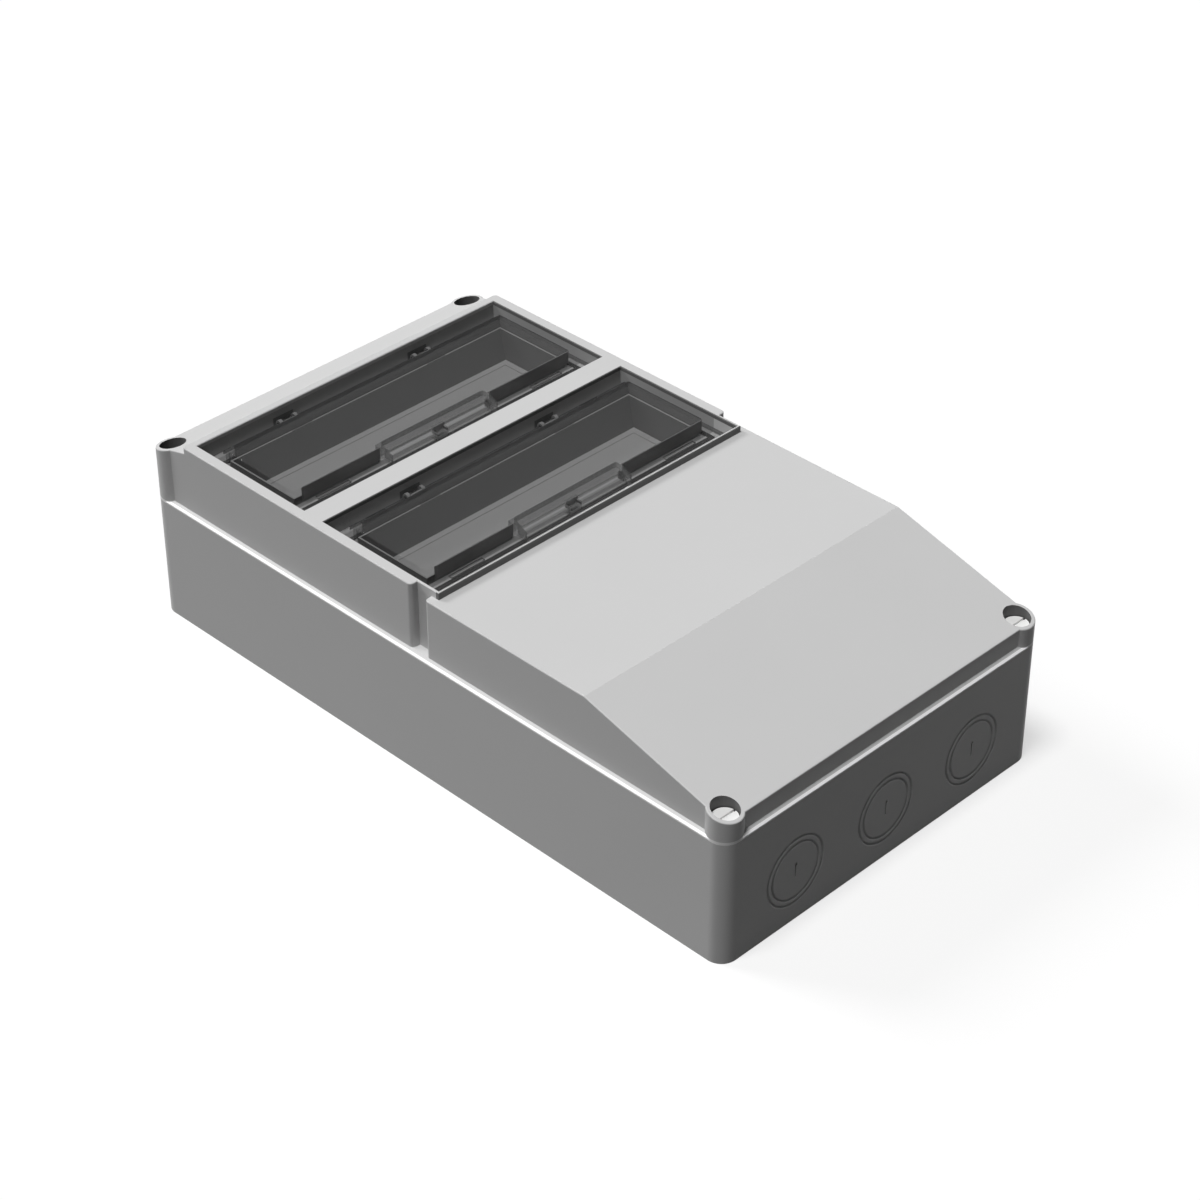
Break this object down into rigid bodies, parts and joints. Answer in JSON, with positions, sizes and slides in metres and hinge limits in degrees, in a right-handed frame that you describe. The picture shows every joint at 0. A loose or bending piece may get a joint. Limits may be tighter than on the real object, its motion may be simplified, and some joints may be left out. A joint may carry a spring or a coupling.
{
  "type": "electrical distribution box",
  "caption": "Grey wall-mounted distribution box with two smoky hinged window flaps over device rails, a sloped cable compartment cover, captive corner screws and knockouts.",
  "frame": {"origin": "middle of the flat back face that goes against the wall", "axes": "+X across the box, +Y along its length towards the windows, +Z out of the wall towards the cover"},
  "size_m": [0.287, 0.519, 0.141],
  "materials": {
    "housing": "light grey moulded plastic, fine satin",
    "well_plastic": "grey moulded plastic, darker than the housing",
    "window": "smoky transparent plastic, polished",
    "screw_plastic": "white moulded plastic",
    "inner_plastic": "grey moulded plastic",
    "seal": "soft dark foam rubber",
    "steel": "zinc plated",
    "dark_steel": "blackened",
    "brass": "drawn brass"
  },
  "bodies": {
    "box": {"bar_screws": "steel", "base_tub": "housing", "blanking_strip_lower": "well_plastic", "blanking_strip_upper": "well_plastic", "bracket_screws": "steel", "cover": "housing", "cover_gasket": "seal", "cover_screws": "screw_plastic", "device_rail_lower": "steel", "device_rail_upper": "steel", "earth_bar": "brass", "earth_clamp_screws": "steel", "fixing_plugs": "inner_plastic", "flap_seal_lower": "seal", "flap_seal_upper": "seal", "hinge_pins_lower": "dark_steel", "hinge_pins_upper": "dark_steel", "neutral_bar": "brass", "neutral_clamp_screws": "steel", "rail_screws": "steel", "rail_support_lower_left": "inner_plastic", "rail_support_lower_right": "inner_plastic", "rail_support_upper_left": "inner_plastic", "rail_support_upper_right": "inner_plastic", "screw_washers": "seal", "support_screws": "steel", "terminal_bracket_left": "inner_plastic", "terminal_bracket_right": "inner_plastic", "window_well_lower": "well_plastic", "window_well_upper": "well_plastic"},
    "upper_flap": {"window_flap_upper": "window"},
    "lower_flap": {"window_flap_lower": "window"}
  },
  "joints": [
    {"name": "upper_flap_hinge", "type": "hinge", "parent": "box", "child": "upper_flap", "pos_m": [0, 0.217, 0.1303], "axis": [-1, 0, 0], "range_deg": [0, 95]},
    {"name": "lower_flap_hinge", "type": "hinge", "parent": "box", "child": "lower_flap", "pos_m": [0, 0.092, 0.1303], "axis": [-1, 0, 0], "range_deg": [0, 95]}
  ]
}
